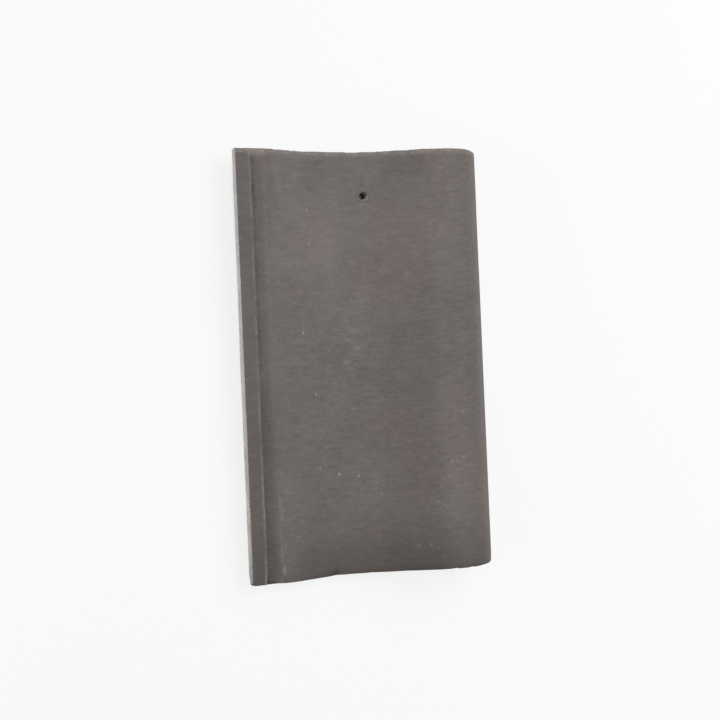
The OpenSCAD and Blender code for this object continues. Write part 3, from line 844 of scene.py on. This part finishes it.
# dark sprayed coat: mottled and warmed by noise, times four shades; then specks, grime and painted shade,
# wear and painted highlights, and grains
def coatColour(tree, at, noise):
    mottle = remap(tree, noise["mottle"], reach["mottle"], reach["full"])
    coat = blendColours(tree, mottle, finish["coatDark"], finish["coatLight"])
    warm = remap(tree, noise["tint"], reach["tint"], reach["warm"])
    coat = blendColours(tree, warm, coat, finish["coatWarm"])
    shade = 1.0
    for name in ("streak", "grain", "smear", "blotch"):
        shade = mathOn(tree, "MULTIPLY", remap(tree, noise[name], reach["usual"], reach[name]), shade)
    coat = shadeColour(tree, coat, shade)
    for name in ("specks", "flecks"):
        coat = blendColours(tree, cellDots(tree, at, finish[name]), coat, finish["speck"])
    # grime and painted shade from the mesh's mask
    grimeAndShadeSpread = remap(tree, noise["mottle"], reach["middle"], reach["grimeAndShadeSpread"])
    grimedAndShaded = mathOn(tree, "MULTIPLY", maskOn(tree, "grimeAndShade"), grimeAndShadeSpread)
    coat = blendColours(tree, grimedAndShaded, coat, finish["grimeAndShade"])
    # wear and painted highlights from the mesh's mask
    wearAndHighlightSpread = remap(tree, noise["wearAndHighlightSpread"], reach["middle"], reach["wearAndHighlightSpread"])
    worn = mathOn(tree, "MULTIPLY", maskOn(tree, "wearAndHighlight"), wearAndHighlightSpread)
    coat = blendColours(tree, worn, coat, finish["worn"])
    return blendColours(tree, grainMask(tree, at), coat, finish["speck"])


# pores: one in some cells, a hole as wide as the cell's random number
def poreMask(tree, at):
    pores = finish["pores"]
    cells = put(tree, "ShaderNodeTexVoronoi", {"Vector": at, "Scale": pores["scale"]})
    pick = put(tree, "ShaderNodeSeparateColor", {0: cells.outputs["Color"]}).outputs[0]
    wide = remap(tree, pick, pores["picked"], pores["size"])
    return mathOn(tree, "LESS_THAN", cells.outputs["Distance"], wide)


# pale cast concrete: cloudy and grainy, with dark pores, and grime and painted shade
def bareColour(tree, noise, pore):
    cloud = remap(tree, noise["cloud"], reach["middle"], reach["full"])
    bare = blendColours(tree, cloud, finish["bareDark"], finish["bareLight"])
    bare = shadeColour(tree, bare, remap(tree, noise["grain"], reach["usual"], reach["bareGrain"]))
    pored = mathOn(tree, "MULTIPLY", pore, finish["pores"]["strength"])
    bare = blendColours(tree, pored, bare, finish["pore"])
    # grime and painted shade from the mesh's mask
    grimedAndShaded = mathOn(tree, "MULTIPLY", maskOn(tree, "grimeAndShade"), finish["bareGrimeAndShade"])
    return blendColours(tree, grimedAndShaded, bare, finish["grimeAndShade"])


# coat over bare concrete where its mask is, with an uneven edge; grain, sand, streaks and pores as bump
def coatedConcrete():
    material = bpy.data.materials.new("coatedConcrete")
    tree = freshTree(material)
    at = put(tree, "ShaderNodeTexCoord", {}).outputs["Object"]
    noise = {name: noiseOn(tree, at, *settings) for name, settings in noises.items()}
    for name in ("streak", "smear"):
        stretched = put(tree, "ShaderNodeMapping", {"Vector": at, "Scale": drawn[name]}).outputs[0]
        noise[name] = noiseOn(tree, stretched, *drawn["noise"])
    pore = poreMask(tree, at)
    spray = mathOn(tree, "SUBTRACT", maskOn(tree, "coat"), maskOn(tree, "endFace"))
    spray = mathOn(tree, "ADD", spray, remap(tree, noise["spray"], reach["middle"], reach["spray"]))
    covered = remap(tree, spray, reach["edge"], reach["full"], "SMOOTHSTEP")
    colour = blendColours(tree, covered, bareColour(tree, noise, pore), coatColour(tree, at, noise))
    smoother = mathOn(tree, "MULTIPLY", covered, finish["coatSmoother"])
    rough = remap(tree, noise["grain"], reach["rough"], finish["roughness"])
    rough = mathOn(tree, "SUBTRACT", rough, smoother)
    height = 0.0
    for name, share in (("grain", "bumpGrain"), ("sand", "bumpSand"), ("streak", "bumpStreak")):
        height = mathOn(tree, "ADD", mathOn(tree, "MULTIPLY", noise[name], finish[share]), height)
    openPore = mathOn(tree, "MULTIPLY", pore, mathOn(tree, "SUBTRACT", 1.0, covered))
    height = mathOn(tree, "SUBTRACT", height, openPore)
    raised = {"Height": height, "Strength": finish["bumpStrength"], "Distance": finish["bumpDistance"]}
    bump = put(tree, "ShaderNodeBump", raised).outputs[0]
    surface = {"Base Color": colour, "Roughness": rough, "Normal": bump,
               "Specular IOR Level": finish["specular"]}
    shader = put(tree, "ShaderNodeBsdfPrincipled", surface).outputs[0]
    put(tree, "ShaderNodeOutputMaterial", {0: shader})
    return material


skin = buildTile()
skin.data.materials.append(coatedConcrete())
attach(skin, "root")
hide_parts("roof_tile")
print("tile dressed")

# studio: metres and watts; floorWhite is the floor's share of white beside the tile
studio = {"floorColour": (0.86, 0.86, 0.86, 1), "floorSize": 12.0, "floorDrop": 0.0003,
          "white": (1, 1, 1, 1), "whiteGlow": 1.0, "floorWhite": 0.8, "sky": 0.45,
          "besideTile": (0.86, 0.98), "farOff": (2.0, 9.0),  # in half lengths and half widths of the tile
          "keyFrom": (0.78, 0.55, 1.50), "keySize": 1.5, "keyPower": 18.0,
          "fillFrom": (-1.7, -0.1, 0.45), "fillSize": 1.0, "fillPower": 7.7}


# 1 on a camera, glossy or transmission ray, and 0 on all others
def seenDirectly(tree):
    rays = put(tree, "ShaderNodeLightPath", {}).outputs
    seen = mathOn(tree, "MAXIMUM", rays["Is Camera Ray"], rays["Is Glossy Ray"])
    return mathOn(tree, "MAXIMUM", seen, rays["Is Transmission Ray"])


# floor: a plane of one face that keeps the tile's soft shadow; where it is seen directly, white is mixed in
# by the distance from the middle: none under the tile, the most of it beside the tile, all of it far off
def buildFloor():
    s = studio["floorSize"] / 2
    z = -studio["floorDrop"]
    mesh = bpy.data.meshes.new("floor")
    mesh.from_pydata([(-s, -s, z), (s, -s, z), (s, s, z), (-s, s, z)], [], [(0, 1, 2, 3)])
    floor = bpy.data.objects.new("floor", mesh)
    scene.collection.objects.link(floor)
    material = bpy.data.materials.new("paleFloor")
    tree = freshTree(material)
    matt = put(tree, "ShaderNodeBsdfDiffuse", {"Color": studio["floorColour"]}).outputs[0]
    glowing = {"Color": studio["white"], "Strength": studio["whiteGlow"]}
    glow = put(tree, "ShaderNodeEmission", glowing).outputs[0]
    at = put(tree, "ShaderNodeTexCoord", {}).outputs["Object"]
    place = put(tree, "ShaderNodeSeparateXYZ", {0: at}).outputs
    across = mathOn(tree, "DIVIDE", mathOn(tree, "ABSOLUTE", place[0], 0.0), width / 2 / perMetre)
    along = mathOn(tree, "DIVIDE", mathOn(tree, "ABSOLUTE", place[1], 0.0), length / 2 / perMetre)
    away = mathOn(tree, "MAXIMUM", across, along)
    beside = remap(tree, away, studio["besideTile"], (0, studio["floorWhite"]), "SMOOTHSTEP")
    far = remap(tree, away, studio["farOff"], (0, 1 - studio["floorWhite"]), "SMOOTHSTEP")
    share = mathOn(tree, "MULTIPLY", seenDirectly(tree), mathOn(tree, "ADD", beside, far))
    mixed = put(tree, "ShaderNodeMixShader", {0: share, 1: matt, 2: glow}).outputs[0]
    put(tree, "ShaderNodeOutputMaterial", {0: mixed})
    mesh.materials.append(material)


# light: an even sky that looks white, a large key lamp and a small fill, both turned to the tile's middle
def buildLight():
    world = bpy.data.worlds.new("softSky")
    scene.world = world
    tree = freshTree(world)
    skies = [put(tree, "ShaderNodeBackground", {"Color": studio["white"], "Strength": strong}).outputs[0]
             for strong in (studio["sky"], studio["whiteGlow"])]
    mixed = put(tree, "ShaderNodeMixShader", {0: seenDirectly(tree), 1: skies[0], 2: skies[1]}).outputs[0]
    put(tree, "ShaderNodeOutputWorld", {0: mixed})
    for name in ("key", "fill"):
        lamp = bpy.data.lights.new(name + "Lamp", "AREA")
        lamp.shape = "DISK"
        lamp.size = studio[name + "Size"]
        lamp.energy = studio[name + "Power"]
        stand = bpy.data.objects.new(name + "Lamp", lamp)
        scene.collection.objects.link(stand)
        stand.location = Vector(studio[name + "From"])
        stand.rotation_euler = stand.location.to_track_quat("Z", "Y").to_euler()


# the photograph's view: turned, tipped and rolled about the tile's middle, then stepped back;
# degrees, millimetres, and the focal length in pixels of the picture
view = {"yaw": 22.5761, "pitch": -0.2128, "roll": -2.4589, "shift": (5.6981, 1.9321, 1013.7406),
        "focal": 1124.6969, "pixels": 720, "sensor": 36.0, "clip": (0.05, 20.0)}


# turn about one of the three axes, as a matrix
def turnAbout(axis, degrees):
    return np.array(Matrix.Rotation(np.radians(degrees), 3, axis))


# camera: the view's turn undone gives the eye in the tile's frame, then both go to the row's frame
def buildCamera():
    turn = turnAbout("Z", view["roll"]) @ turnAbout("X", view["pitch"]) @ turnAbout("Y", -view["yaw"])
    eye = -turn.T @ np.array(view["shift"])  # across, down the tile and away from the face
    place = toRow(eye[0] + width / 2, length / 2 - eye[1], -eye[2])
    tip = turnAbout("X", np.degrees(restPitch))
    right, down, ahead = (tip @ (row * (1, -1, -1)) for row in turn)
    data = bpy.data.cameras.new("photoView")
    data.sensor_width = view["sensor"]
    data.lens = view["focal"] * view["sensor"] / view["pixels"]
    data.clip_start, data.clip_end = view["clip"]
    camera = bpy.data.objects.new("photoView", data)
    scene.collection.objects.link(camera)
    axes = np.eye(4)
    axes[:3] = np.stack([right, -down, -ahead, place], 1)
    camera.matrix_world = Matrix(axes.tolist())
    scene.camera = camera


buildFloor()
buildLight()
buildCamera()
print("floor, light and camera set")

bpy.context.view_layer.update()
